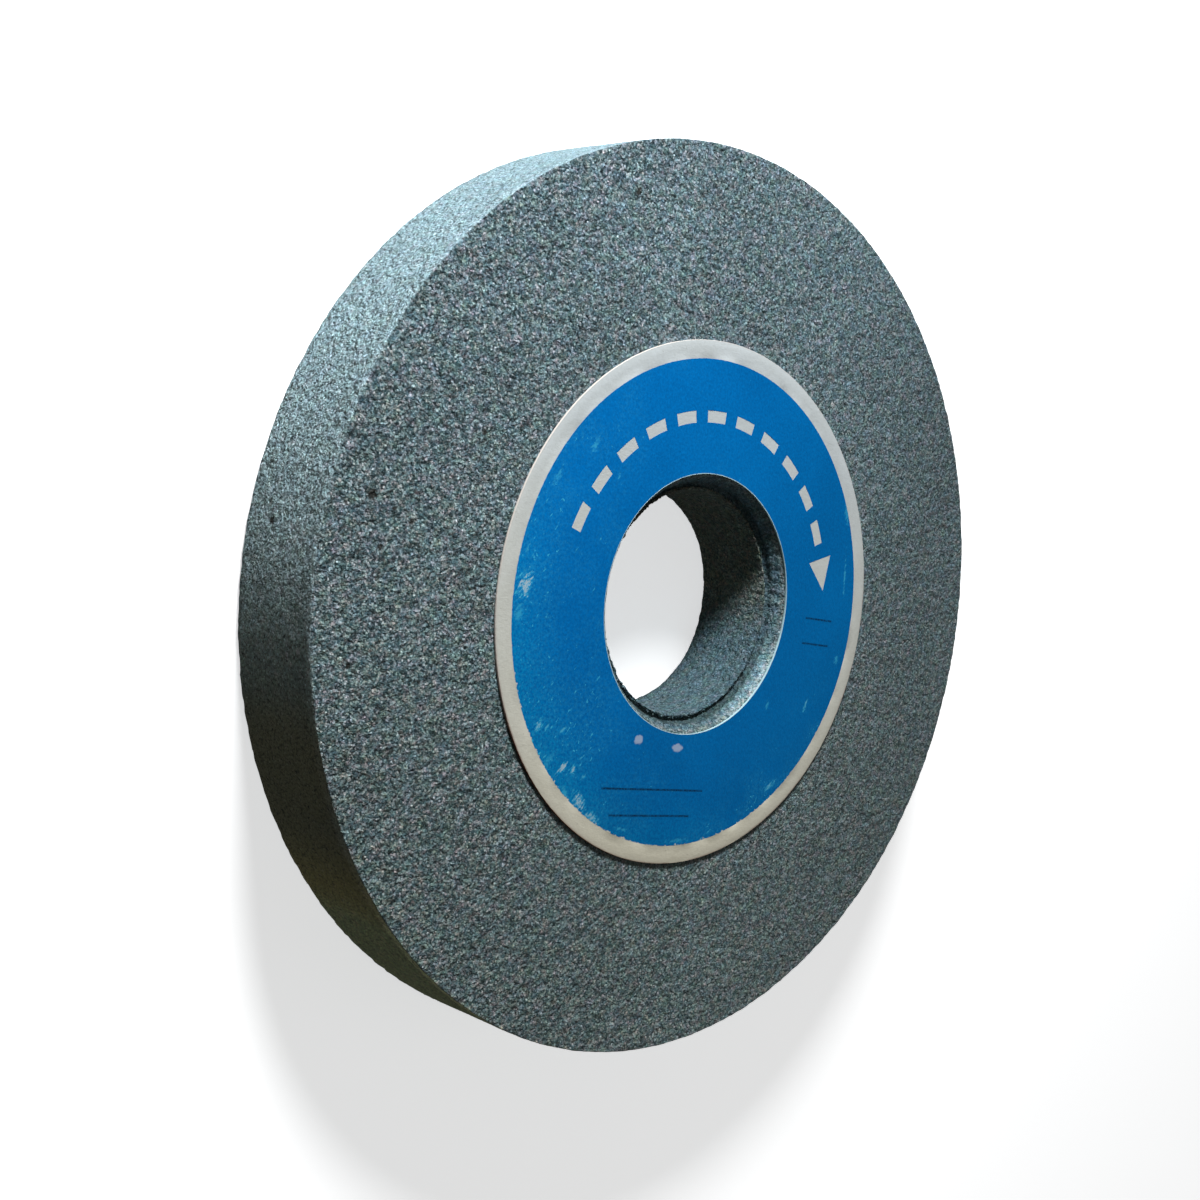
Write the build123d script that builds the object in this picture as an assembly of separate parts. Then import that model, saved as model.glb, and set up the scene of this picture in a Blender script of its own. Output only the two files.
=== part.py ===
"""A straight vitrified grinding wheel for a bench grinder, with a round paper blotter glued to each face.

All sizes are in millimetres. The wheel lies flat: its axis is Z, the printed blotter is on top, and the origin is
the middle of the bore, halfway through the wheel. The abrasive body is one pressed and fired piece, so its rim,
faces and stepped bore come from one turned section.
"""
from build123d import *
import os
from math import cos, radians, sin

# Abrasive body
wheel_diameter = 152.4
wheel_thickness = 19.05
rim_edge_round = 0.5

# Bore, with a small cone where it opens at the rear
bore_diameter = 38.1
rear_cone_width = 1.5
rear_cone_depth = 1.5

# Stepped front mouth: from the bore outwards a raised lip, a groove and a flared wall, with depths below the face
lip_width = 0.7
lip_depth = 2.7
lip_round = 0.3
groove_width = 0.75
groove_below_lip = 1.3
flare_width = 1.3
flare_depth = 2.1

# Paper blotters
blotter_diameter = 88.3
blotter_thickness = 0.4
blotter_bore_clearance = 0.25
front_blotter_offset = 0.3

# Printed ring on the front blotter, with an unprinted border round it
print_thickness = 0.1
print_border = 3.05

# Turning arrow left unprinted in the ring: a row of curved dashes that ends in an arrowhead
dash_count = 11
dash_width = 2.0
dash_angle = 8.0
dash_start_angle = 164.0
dash_pitch_angle = 13.0
arrow_length = 6.0
arrow_width = 6.0

# Sizes worked out from those above
face_height = wheel_thickness / 2
bore_radius = bore_diameter / 2
lip_radius = bore_radius + lip_width
groove_radius = lip_radius + groove_width
mouth_radius = groove_radius + flare_width
blotter_bore_radius = mouth_radius + blotter_bore_clearance
print_radius = blotter_diameter / 2 - print_border
arrow_radius = (blotter_bore_radius + print_radius) / 2


def turned_section():
    """Half section of the body in the XZ plane, with its grain-worn corners rounded."""
    rim_radius = wheel_diameter / 2
    groove_floor = face_height - lip_depth - groove_below_lip
    lip_height = face_height - lip_depth
    outline = [
        (bore_radius, -face_height + rear_cone_depth),
        (bore_radius + rear_cone_width, -face_height),
        (rim_radius, -face_height),
        (rim_radius, face_height),
        (mouth_radius, face_height),
        (groove_radius, face_height - flare_depth),
        (groove_radius, groove_floor),
        (lip_radius, groove_floor),
        (lip_radius, lip_height),
        (bore_radius, lip_height),
    ]
    with BuildSketch(Plane.XZ) as section:
        with BuildLine():
            Polyline(*outline, close=True)
        make_face()
        corners = section.vertices()
        rim_corners = corners.group_by(Axis.X)[-1]
        lip_corners = [v for v in corners if abs(v.Y - lip_height) < 1e-6 and v.X < groove_radius - 1e-6]
        floor_corners = [v for v in corners if abs(v.Y - groove_floor) < 1e-6]
        fillet(rim_corners, rim_edge_round)
        fillet(lip_corners, min(lip_round, 0.45 * lip_width))
        fillet(floor_corners, 0.45 * groove_width)
    return section.sketch


def abrasive_wheel():
    """The pressed and fired body, turned from its section about the Z axis."""
    return revolve(turned_section(), Axis.Z)


def ring(outer_radius, inner_radius, bottom, height):
    """A flat ring that stands on the height given as bottom."""
    outer = Cylinder(outer_radius, height, align=(Align.CENTER, Align.CENTER, Align.MIN))
    inner = Cylinder(inner_radius, height, align=(Align.CENTER, Align.CENTER, Align.MIN))
    return Pos(0, 0, bottom) * (outer - inner)


def point_on_arc(radius, angle):
    """A point at this radius, with the angle in degrees counted anticlockwise from +X."""
    return (radius * cos(radians(angle)), radius * sin(radians(angle)))


def dash(start_angle):
    """One curved dash, clockwise from its start angle."""
    end_angle = start_angle - dash_angle
    outer_radius = arrow_radius + dash_width / 2
    inner_radius = arrow_radius - dash_width / 2
    middle_angle = (start_angle + end_angle) / 2
    with BuildSketch() as shape:
        with BuildLine():
            ThreePointArc(
                point_on_arc(outer_radius, start_angle),
                point_on_arc(outer_radius, middle_angle),
                point_on_arc(outer_radius, end_angle),
            )
            Line(point_on_arc(outer_radius, end_angle), point_on_arc(inner_radius, end_angle))
            ThreePointArc(
                point_on_arc(inner_radius, end_angle),
                point_on_arc(inner_radius, middle_angle),
                point_on_arc(inner_radius, start_angle),
            )
            Line(point_on_arc(inner_radius, start_angle), point_on_arc(outer_radius, start_angle))
        make_face()
    return shape.sketch


def arrowhead(base_angle):
    """The triangle after the last dash, pointing clockwise along the arc."""
    base_x, base_y = point_on_arc(arrow_radius, base_angle)
    along = Vector(sin(radians(base_angle)), -cos(radians(base_angle)))
    outward = Vector(cos(radians(base_angle)), sin(radians(base_angle)))
    base = Vector(base_x, base_y)
    tip = base + along * arrow_length
    with BuildSketch() as shape:
        with BuildLine():
            Polyline(base + outward * arrow_width / 2, tip, base - outward * arrow_width / 2, close=True)
        make_face()
    return shape.sketch


def front_print(top):
    """The ink as a thin ring let into the paper, with the turning arrow cut out of it."""
    bottom = top - print_thickness
    ink = ring(print_radius, blotter_bore_radius, bottom, print_thickness)
    starts = [dash_start_angle - i * dash_pitch_angle for i in range(dash_count)]
    marks = [dash(start) for start in starts]
    marks.append(arrowhead(starts[-1] - dash_pitch_angle))
    for mark in marks:
        ink -= Pos(0, 0, bottom) * extrude(mark, print_thickness)
    return ink


def blotter(bottom):
    """A round paper blotter with a bore that clears the wheel's front mouth."""
    return ring(blotter_diameter / 2, blotter_bore_radius, bottom, blotter_thickness)


front_shift = Pos(-front_blotter_offset, 0, 0)
ink_layer = front_print(face_height + blotter_thickness)

pieces = {
    "abrasive_wheel": abrasive_wheel(),
    "front_blotter": front_shift * (blotter(face_height) - ink_layer),
    "front_print": front_shift * ink_layer,
    "rear_blotter": blotter(-face_height - blotter_thickness),
}

os.makedirs("parts", exist_ok=True)
for name, piece in pieces.items():
    export_step(piece, f"parts/{name}.step")
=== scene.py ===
"""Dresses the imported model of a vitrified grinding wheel: open grit, paper blotters and a printed field.

Meshes are in metres. Names that end in _mm are in millimetres, and so is every pattern in a material.
The wheel lies flat as its CAD model does: the axis is Z and the printed blotter is on top.
"""

from functools import reduce
from math import ceil, cos, radians, sin, tau

import bpy
import numpy as np
from bpy.props import FloatProperty, FloatVectorProperty, IntProperty, PointerProperty
from mathutils import Matrix, Vector


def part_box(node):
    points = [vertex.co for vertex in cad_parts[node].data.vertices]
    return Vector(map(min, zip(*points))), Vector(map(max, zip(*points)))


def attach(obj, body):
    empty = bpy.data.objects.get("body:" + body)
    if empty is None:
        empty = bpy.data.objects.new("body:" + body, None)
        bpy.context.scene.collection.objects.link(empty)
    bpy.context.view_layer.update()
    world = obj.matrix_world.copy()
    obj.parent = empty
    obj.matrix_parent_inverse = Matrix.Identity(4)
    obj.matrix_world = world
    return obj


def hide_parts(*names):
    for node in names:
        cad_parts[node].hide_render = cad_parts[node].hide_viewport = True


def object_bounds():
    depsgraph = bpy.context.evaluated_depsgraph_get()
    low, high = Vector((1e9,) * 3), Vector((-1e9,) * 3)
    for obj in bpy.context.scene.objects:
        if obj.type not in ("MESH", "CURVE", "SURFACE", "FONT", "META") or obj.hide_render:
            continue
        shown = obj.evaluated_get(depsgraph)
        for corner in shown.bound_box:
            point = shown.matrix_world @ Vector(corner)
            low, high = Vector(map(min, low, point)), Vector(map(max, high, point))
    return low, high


bl_info = {
    "name": "Bench grinding wheel",
    "version": (1, 0, 0),
    "blender": (4, 5, 0),
    "location": "3D View > Sidebar > Grinding Wheel",
    "description": "Dresses a packed grinding wheel with grit, paper blotters and print",
    "category": "Object",
}

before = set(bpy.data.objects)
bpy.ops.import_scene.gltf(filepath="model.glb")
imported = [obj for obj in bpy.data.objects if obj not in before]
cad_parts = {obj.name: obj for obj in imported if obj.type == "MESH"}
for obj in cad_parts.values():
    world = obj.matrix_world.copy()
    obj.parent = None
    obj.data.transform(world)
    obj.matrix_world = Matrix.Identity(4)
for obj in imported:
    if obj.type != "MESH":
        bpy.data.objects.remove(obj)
cad_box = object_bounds()

MM = 0.001
BAKE_MAP = "OFBake"
BODY = "root"

# The photograph's width, and where its centre lies along it from the lens axis, as in a crop
PICTURE_WIDTH_PX = 1200
PICTURE_CENTRE_PX = -100.5

# Which strip of the turned body a face belongs to, counted along its section
MOUTH_RING, FRONT_FACE, RIM, REAR_FACE, REAR_HIDDEN, BORE, MOUTH = range(7)


# Sizes and colours that a user would change

def in_mm(label, about, millimetres):
    """A length given in millimetres and kept in metres."""
    return FloatProperty(name=label, description=about, default=millimetres * MM, unit="LENGTH")


def rgb(label, about, *colour):
    """A colour, as the light that a surface gives back."""
    return FloatVectorProperty(name=label, description=about, default=colour, subtype="COLOR")


def number(label, about, default, **limits):
    """A plain number, or one with the unit or the limits that are named."""
    return FloatProperty(name=label, description=about, default=default, **limits)


def whole(label, about, default, least=0):
    """A whole number."""
    return IntProperty(name=label, description=about, default=default, min=least)


class WheelSettings(bpy.types.PropertyGroup):
    """The abrasive body."""

    edge_round: in_mm("Edge Round", "Radius worn on the rim's two edges", 0.2)
    rear_cone: in_mm("Rear Cone", "Width and depth of the cone at the bore's rear", 1.5)
    lip_width: in_mm("Lip Width", "Width of the lip round the bore", 0.7)
    lip_depth: in_mm("Lip Depth", "Depth of the lip's top below the face", 2.7)
    lip_round: in_mm("Lip Round", "Radius on the lip's two corners", 0.3)
    groove_width: in_mm("Groove Width", "Width of the groove outside the lip", 0.75)
    groove_depth: in_mm("Groove Depth", "Depth of the groove below the lip's top, filled with dirt", 0.6)
    flare_width: in_mm("Flare Width", "Width of the sloping wall of the mouth", 1.3)
    flare_depth: in_mm("Flare Depth", "Depth of the sloping wall of the mouth", 2.1)
    steps: whole("Steps", "Columns of faces round the wheel, a multiple of 6", 600, 60)
    face_spacing: in_mm("Row Spacing", "Distance between rings of faces on the open grit", 0.84)
    relief: in_mm("Relief", "Depth of the hollows between clumps of grit", 0.19)
    clump_size: in_mm("Clump Size", "Width of a clump of grit", 1.4)
    face_sink: in_mm("Face Sink", "How far the open faces lie under the paper's seat", 0.03)
    seed: whole("Seed", "Seed of the random grit", 7)


class GrainSettings(bpy.types.PropertyGroup):
    """The crystals that stand in the surface."""

    spacing: in_mm("Spacing", "Least distance between two crystals", 0.42)
    size: in_mm("Size", "Half the length of a large crystal", 0.31)
    stand: in_mm("Stand", "How far the highest crystal stands out", 0.15)
    bore_share: number("Bore Size", "Size of the bore's crystals, as a share of others", 0.72, min=0, max=1)


class BlotterSettings(bpy.types.PropertyGroup):
    """The two round paper blotters."""

    ink_height: in_mm("Ink Height", "How far the ink stands over its paper", 0.012)
    cut_round: in_mm("Cut Round", "Radius on the paper's cut edges", 0.09)
    wave: in_mm("Wave", "Depth of the paper's hollows", 0.03)
    wave_size: in_mm("Wave Size", "Width of the paper's hollows", 5)
    steps: whole("Steps", "Columns of faces round a blotter, a multiple of 6", 360, 60)
    row_spacing: in_mm("Row Spacing", "Distance between rings of faces on the paper", 1.2)


class FinishSettings(bpy.types.PropertyGroup):
    """Colours, as light that the surface gives back; a few also carry painted light and shade, as their
    notes say.
    """

    grit: rgb("Grit", "Most of the crystals", 0.150, 0.205, 0.217)
    # Painted shade: the near-black colour laid in the pores and in the gaps between grains
    pore_shade: rgb("Pore", "Open pores between the crystals", 0.007, 0.028, 0.036)
    # Painted shade: the near-black colour of the pits' hollows
    pit: rgb("Pit", "Large pits where a clump broke out", 0.005, 0.008, 0.006)
    dust: rgb("Dust", "Ground dust on the rim", 0.46, 0.60, 0.65)
    # Grime and painted shade: darkens the rim's lower left, on the side turned from the key light
    grime_and_shade: rgb("Grime", "Oily dirt low on the rim", 0.25, 0.24, 0.105)
    paper: rgb("Paper", "The blotter's border", 0.465, 0.515, 0.535)
    # Also a painted highlight: the cut edge's upper side, which faces the key light
    card: rgb("Card", "Clean card in the paper's outer cut edge", 0.62, 0.58, 0.54)
    # Also painted shade: the cut edge's low side, away from the key light
    stain: rgb("Stain", "Old glue at the paper's edge", 0.20, 0.085, 0.058)
    speck: rgb("Speck", "Grit rubbed into the paper", 0.16, 0.15, 0.12)
    ink: rgb("Ink", "The printed field", 0.0003, 0.127, 0.378)
    scratch: rgb("Scratch", "Ink scratched thin", 0.045, 0.43, 0.64)
    scuff: rgb("Scuff", "Paper laid bare where the print is scuffed through", 0.33, 0.47, 0.56)
    spot: rgb("Spot", "Bare oval spots under the bore", 0.36, 0.44, 0.58)
    cut_edge: rgb("Cut Edge", "Card laid bare where the print is cut", 0.45, 0.67, 0.74)
    ruled: rgb("Ruled Lines", "Dark ink of the ruled lines", 0.003, 0.030, 0.080)


class StageSettings(bpy.types.PropertyGroup):
    """Floor, lights and camera."""

    floor_colour: rgb("Floor", "Colour of the floor", 0.85, 0.86, 0.87)
    floor_glow: number("Floor Glow", "Keeps the floor pale where the near key light falls off", 0.75)
    key_power: number("Key Light", "Power of the main light", 2.75, unit="POWER")
    key_distance: in_mm("Key Distance", "From the wheel to the main light", 400)
    key_size: in_mm("Key Size", "Width of the main light", 90)
    fill_power: number("Fill Light", "Power of the soft light from the far side", 0.4, unit="POWER")
    fill_distance: in_mm("Fill Distance", "From the wheel to the soft light", 800)
    fill_size: in_mm("Fill Size", "Width of the soft light", 500)
    sky: number("Sky", "Strength of the light from all round", 0.085)
    sky_colour: rgb("Sky Colour", "Colour of the light from all round", 1.0, 0.92, 0.80)
    lens_mm: number("Lens", "Focal length in millimetres", 49.56)
    turn: number("Camera Turn", "Turn of the camera about Y", radians(-46.71), subtype="ANGLE")
    roll: number("Camera Roll", "Roll of the camera", radians(8.487), subtype="ANGLE")
    shift: number("Camera Shift", "From the lens axis to the picture's centre, as a share of its width",
                  PICTURE_CENTRE_PX / PICTURE_WIDTH_PX)


GROUPS = {
    "grinding_wheel": WheelSettings,
    "grinding_grains": GrainSettings,
    "grinding_blotters": BlotterSettings,
    "grinding_finish": FinishSettings,
    "grinding_stage": StageSettings,
}


def settings(name):
    """One of the scene's property groups."""
    return getattr(bpy.context.scene, name)


# Node trees

def math_method(operation, swapped=False):
    """A method that takes its wire and any other values through one Math node."""
    def method(self, *others):
        values = [self, *others]
        return self.tree.node("ShaderNodeMath", values[::-1] if swapped else values, operation=operation)
    return method


class Wire:
    """A node's output that takes Python's arithmetic: an expression adds the Math nodes that it needs."""

    def __init__(self, tree, socket):
        self.tree = tree
        self.socket = socket

    __add__ = __radd__ = math_method("ADD")
    __sub__ = math_method("SUBTRACT")
    __rsub__ = math_method("SUBTRACT", swapped=True)
    __mul__ = __rmul__ = math_method("MULTIPLY")
    __truediv__ = math_method("DIVIDE")
    __rtruediv__ = math_method("DIVIDE", swapped=True)
    __pow__ = math_method("POWER")
    __gt__ = math_method("GREATER_THAN")
    __lt__ = math_method("LESS_THAN")
    floor = math_method("FLOOR")
    cosine = math_method("COSINE")
    sine = math_method("SINE")
    size = math_method("ABSOLUTE")
    most = math_method("MAXIMUM")
    least = math_method("MINIMUM")

    def ramp(self, low, high):
        """0 at low and 1 at high with a smooth passage, in either order."""
        return self.tree.node(
            "ShaderNodeMapRange", {"Value": self, "From Min": low, "From Max": high},
            interpolation_type="SMOOTHSTEP")

    def other(self, name):
        """Another output of the same node."""
        return Wire(self.tree, self.tree.pick(self.socket.node.outputs, name))


class Tree:
    """Adds nodes to a shader's or a modifier's tree."""

    def __init__(self, node_tree):
        self.nodes = node_tree.nodes
        self.links = node_tree.links

    def pick(self, sockets, key):
        """The socket with this name, or this place among the sockets that are in use."""
        used = [socket for socket in sockets if socket.enabled]
        if isinstance(key, int):
            return used[key]
        return next(socket for socket in used if socket.name == key)

    def node(self, kind, inputs=(), output=0, stops=None, **choices):
        """A node of this kind: its choices are set first, then its sockets by name or in order."""
        made = self.nodes.new(kind)
        for name, value in choices.items():
            setattr(made, name, value)
        if stops:
            self.set_stops(made.color_ramp, stops)
        pairs = inputs.items() if isinstance(inputs, dict) else enumerate(inputs)
        for key, value in pairs:
            self.feed(self.pick(made.inputs, key), value)
        return Wire(self, self.pick(made.outputs, output)) if len(made.outputs) else made

    def feed(self, socket, value):
        """Links a wire, each wire of a tuple, or sets a plain value."""
        if isinstance(value, Wire):
            self.links.new(value.socket, socket)
        elif isinstance(value, tuple) and isinstance(value[0], Wire):
            for wire in value:
                self.links.new(wire.socket, socket)
        elif socket.type == "RGBA" and len(value) == 3:
            socket.default_value = (*value, 1)
        else:
            socket.default_value = value

    def set_stops(self, ramp, stops):
        """Fills a colour ramp with pairs of a position and a colour."""
        while len(ramp.elements) < len(stops):
            ramp.elements.new(1)
        for element, (position, colour) in zip(ramp.elements, stops):
            element.position = position
            element.color = (*colour, 1)

    def shades(self, level, *stops):
        """A colour that follows a level from 0 to 1, through pairs of a position and a colour."""
        return self.node("ShaderNodeValToRGB", [level], stops=stops)

    def mix(self, factor, first, second, blend_type="MIX"):
        """Two colours mixed."""
        return self.node(
            "ShaderNodeMix", {"Factor": factor, "A": first, "B": second}, "Result",
            data_type="RGBA", blend_type=blend_type, clamp_factor=True)

    def tint(self, colour, by, factor=1.0):
        """A colour multiplied by another one, as far as the factor says."""
        return self.mix(factor, colour, by, "MULTIPLY")

    def vector(self, operation, *values):
        """Arithmetic on whole vectors."""
        return self.node("ShaderNodeVectorMath", list(values), operation=operation)

    def scaled(self, vector, factor):
        """A vector times a plain factor."""
        return self.node("ShaderNodeVectorMath", {"Vector": vector, "Scale": factor}, operation="SCALE")

    def xyz(self, vector):
        """A vector's three parts."""
        x = self.node("ShaderNodeSeparateXYZ", [vector])
        return x, x.other("Y"), x.other("Z")

    def radius(self, place):
        """How far a place lies from the Z axis."""
        x, y, _ = self.xyz(place)
        return (x * x + y * y) ** 0.5

    def bearing(self, place, degrees):
        """1 where a place lies in this direction from the Z axis, 0 at right angles and -1 opposite."""
        x, y, _ = self.xyz(place)
        return (x * cos(radians(degrees)) + y * sin(radians(degrees))) / self.radius(place)

    def join(self, x, y, z):
        """A vector from its three parts."""
        return self.node("ShaderNodeCombineXYZ", [x, y, z])

    def noise(self, place, scale, detail=2.0, roughness=0.5, distortion=0.0):
        """Soft noise from 0 to 1, with this many features to a unit of place."""
        return self.node("ShaderNodeTexNoise", {
            "Vector": place, "Scale": scale, "Detail": detail, "Roughness": roughness,
            "Distortion": distortion})

    def cells(self, place, scale):
        """Distance to the nearest cell's centre, with the cell's random colour on its other output."""
        return self.node("ShaderNodeTexVoronoi", {"Vector": place, "Scale": scale})

    def named(self, label, kind="FLOAT"):
        """The mesh's own attribute with this name."""
        return self.node("GeometryNodeInputNamedAttribute", {"Name": label}, data_type=kind)

    def stored(self, geometry, label, value, kind="FLOAT", domain="POINT"):
        """Geometry that carries a value as an attribute."""
        return self.node("GeometryNodeStoreNamedAttribute", {
            "Geometry": geometry, "Name": label, "Value": value}, data_type=kind, domain=domain)


def geometry_tree(name, inputs):
    """A new Geometry Nodes tree and wires from its inputs, each with a name and a kind of socket."""
    group = bpy.data.node_groups.new(name, "GeometryNodeTree")
    group.interface.new_socket("Geometry", in_out="INPUT", socket_type="NodeSocketGeometry")
    for label, kind in inputs.items():
        group.interface.new_socket(label, in_out="INPUT", socket_type="NodeSocket" + kind)
    group.interface.new_socket("Geometry", in_out="OUTPUT", socket_type="NodeSocketGeometry")
    tree = Tree(group)
    entry = tree.nodes.new("NodeGroupInput")
    wires = {socket.name: Wire(tree, socket) for socket in entry.outputs if socket.name}
    return group, tree, wires


def close_tree(tree, geometry, material, smooth):
    """Ends a tree with real faces that carry their material."""
    real = tree.node("GeometryNodeRealizeInstances", [geometry])
    shaded = tree.node("GeometryNodeSetShadeSmooth", {"Geometry": real, "Shade Smooth": smooth})
    finished = tree.node("GeometryNodeSetMaterial", {"Geometry": shaded, "Material": material})
    tree.node("NodeGroupOutput", {"Geometry": finished})


def run_tree(piece, group, values):
    """Runs a tree on a piece with its inputs set by identifier, and keeps the result as a plain mesh."""
    modifier = piece.modifiers.new(group.name, "NODES")
    modifier.node_group = group
    for item in group.interface.items_tree:
        if item.item_type == "SOCKET" and item.in_out == "INPUT" and item.name in values:
            modifier[item.identifier] = values[item.name]
    evaluated = piece.evaluated_get(bpy.context.evaluated_depsgraph_get())
    mesh = bpy.data.meshes.new_from_object(evaluated)
    piece.modifiers.remove(modifier)
    piece.data = mesh
    mesh.name = piece.name
    if not mesh.polygons:
        raise RuntimeError(f"{piece.name} came out empty")
    return mesh


def new_piece(name, mesh):
    """An object at the origin, linked to the scene."""
    piece = bpy.data.objects.new(name, mesh)
    bpy.context.scene.collection.objects.link(piece)
    return piece


# Turned pieces

class Section:
    """The closed half section of a turned piece, gathered run by run from points (radius, height)."""

    def __init__(self):
        self.points = []
        self.roughness = []
        self.strips = []

    def add(self, point, rough, strip):
        self.points.append(point)
        self.roughness.append(rough)
        self.strips.append(strip)

    def line(self, start, end, spacing, rough, strip):
        """Even points from start up to, but without, end."""
        start, end = Vector(start), Vector(end)
        count = max(1, round((end - start).length / spacing))
        for i in range(count):
            self.add(start.lerp(end, i / count), rough, strip)

    def arc(self, centre, radius, first, last, count, rough, strip):
        """Points on an arc between two angles in degrees, without the last one."""
        for i in range(count):
            angle = radians(first + (last - first) * i / count)
            self.add(Vector(centre) + radius * Vector((cos(angle), sin(angle))), rough, strip)

    def close(self):
        self.add(self.points[0], self.roughness[0], self.strips[-1])

    def runs(self):
        """Length along the section up to each point."""
        steps = [(b - a).length for a, b in zip(self.points, self.points[1:])]
        return np.concatenate(([0], np.cumsum(steps)))

    def mesh(self, name):
        """The section as loose points in the XZ plane, each with its run and roughness."""
        mesh = bpy.data.meshes.new(name)
        mesh.from_pydata([(r, 0, z) for r, z in self.points], [], [])
        for label, values in (("run", self.runs()), ("rough", self.roughness)):
            attribute = mesh.attributes.new(label, "FLOAT", "POINT")
            attribute.data.foreach_set("value", np.array(values, np.float32))
        return mesh


def turning_tree():
    """A tree that turns a section about an axis beside Z, and hollows its surface inwards at random."""
    group, tree, wire = geometry_tree("turned_piece", {
        "Section Points": "Int", "Steps": "Int", "Centre": "Vector", "Relief": "Float",
        "Clump Size": "Float", "Seed": "Float", "Weld Distance": "Float", "Material": "Material",
    })
    grid = tree.node("GeometryNodeMeshGrid", {
        "Vertices X": wire["Steps"] + 1, "Vertices Y": wire["Section Points"]})
    index = tree.node("GeometryNodeInputIndex")
    column = (index / wire["Section Points"]).floor()
    row = index - column * wire["Section Points"]

    def of_section(field, kind):
        return tree.node(
            "GeometryNodeSampleIndex", {"Geometry": wire["Geometry"], "Value": field, "Index": row},
            data_type=kind, domain="POINT")

    radius, _, height = tree.xyz(of_section(tree.node("GeometryNodeInputPosition"), "FLOAT_VECTOR"))
    share = column / wire["Steps"]
    angle = share * tau
    place = tree.join(radius * angle.cosine(), radius * angle.sine(), height)
    run = of_section(tree.named("run"), "FLOAT")
    unrolled = tree.node(
        "GeometryNodeFieldOnDomain", {"Value": tree.join(share, run, 0.0)},
        data_type="FLOAT_VECTOR", domain="POINT")
    mapped = tree.stored(grid, BAKE_MAP, unrolled, "FLOAT2", "CORNER")
    rough = tree.stored(mapped, "rough", of_section(tree.named("rough"), "FLOAT"))
    turned = tree.node("GeometryNodeSetPosition", {
        "Geometry": rough, "Position": tree.vector("ADD", place, wire["Centre"])})
    welded = tree.node("GeometryNodeMergeByDistance", {
        "Geometry": turned, "Distance": wire["Weld Distance"]})

    outwards = tree.node("GeometryNodeFlipFaces", {"Mesh": welded})
    where = tree.vector("ADD", tree.node("GeometryNodeInputPosition"), tree.join(wire["Seed"], 0.0, 0.0))
    clumps = tree.noise(where, 1 / wire["Clump Size"], detail=3.0, roughness=0.6)
    hollow = (clumps.ramp(0.3, 0.75) * wire["Relief"]) * tree.named("rough")
    inwards = tree.scaled(tree.node("GeometryNodeInputNormal"), hollow * -1)
    carved = tree.node("GeometryNodeSetPosition", {"Geometry": outwards, "Offset": inwards})
    close_tree(tree, carved, wire["Material"], True)
    return group


def turned_piece(name, section, strips, values):
    """A closed ring turned from a section, with its strips packed in the bake map."""
    piece = new_piece(name, section.mesh(name))
    values = {"Section Points": len(section.points), "Weld Distance": 0.002 * MM, **values}
    group = bpy.data.node_groups.get("turned_piece") or turning_tree()
    mesh = run_tree(piece, group, values)
    if mesh_volume(mesh) < 0:
        raise RuntimeError(f"{name} is inside out")
    pack_strips(mesh, section, strips)
    return piece


def mesh_volume(mesh):
    """Signed volume of a mesh of four-sided faces: negative when its faces point inwards."""
    points = np.empty(len(mesh.vertices) * 3, np.float32)
    mesh.vertices.foreach_get("co", points)
    corners = np.empty(len(mesh.loops), np.int32)
    mesh.loops.foreach_get("vertex_index", corners)
    a, b, c, d = np.moveaxis(points.reshape(-1, 3)[corners.reshape(-1, 4)], 1, 0)
    return float((a * (np.cross(b, c) + np.cross(c, d))).sum() / 6)


def pack_strips(mesh, section, strips):
    """Cuts each strip of the unrolled surface into rows that stack up the bake map, and marks its faces.

    Each strip has a pair: how many rows it is cut into, and the share of its width that it keeps.
    """
    side_margin = 0.004
    row_margin = 0.06
    runs = section.runs()
    numbers = np.array(section.strips)
    starts = [runs[np.argmax(numbers == i)] for i in range(len(strips))]
    ends = starts[1:] + [runs[-1]]
    heights = [rows * share * (end - start) for (rows, share), start, end in zip(strips, starts, ends)]
    total = sum(heights)

    corners = np.empty(len(mesh.loops) * 2, np.float32)
    uv = mesh.uv_layers[BAKE_MAP].data
    uv.foreach_get("uv", corners)
    corners = corners.reshape(-1, 4, 2)
    middle = corners.mean(axis=1)
    strip = np.searchsorted(starts, middle[:, 1], side="right") - 1
    packed = np.empty_like(corners)
    bottom = 0.0
    for i, (rows, _) in enumerate(strips):
        chosen = strip == i
        turn, run = corners[chosen, :, 0], corners[chosen, :, 1]
        row = np.floor(middle[chosen, 0] * rows)[:, None]
        across = (run - starts[i]) / (ends[i] - starts[i])
        tall = heights[i] / total
        packed[chosen, :, 0] = side_margin + (1 - 2 * side_margin) * (turn * rows - row)
        packed[chosen, :, 1] = bottom + tall * (row + row_margin / 2 + (1 - row_margin) * across) / rows
        bottom += tall
    uv.foreach_set("uv", packed.ravel())
    attribute = mesh.attributes.new("strip", "INT", "FACE")
    attribute.data.foreach_set("value", strip.astype(np.int32))


def ring_of(node):
    """Centre, inner radius and outer radius of a CAD ring, from its own vertices."""
    low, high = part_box(node)
    centre = (low + high) / 2
    places = np.array([vertex.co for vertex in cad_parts[node].data.vertices])
    radii = np.hypot(places[:, 0] - centre.x, places[:, 1] - centre.y)
    return centre, float(radii.min()), float(radii.max())


def mouth_radii():
    """Radii of the bore, the lip round it, the groove's outer wall and the mouth in the front face."""
    size = settings("grinding_wheel")
    _, bore, _ = ring_of("abrasive_wheel")
    lip = bore + size.lip_width
    groove = lip + size.groove_width
    return bore, lip, groove, groove + size.flare_width


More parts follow.
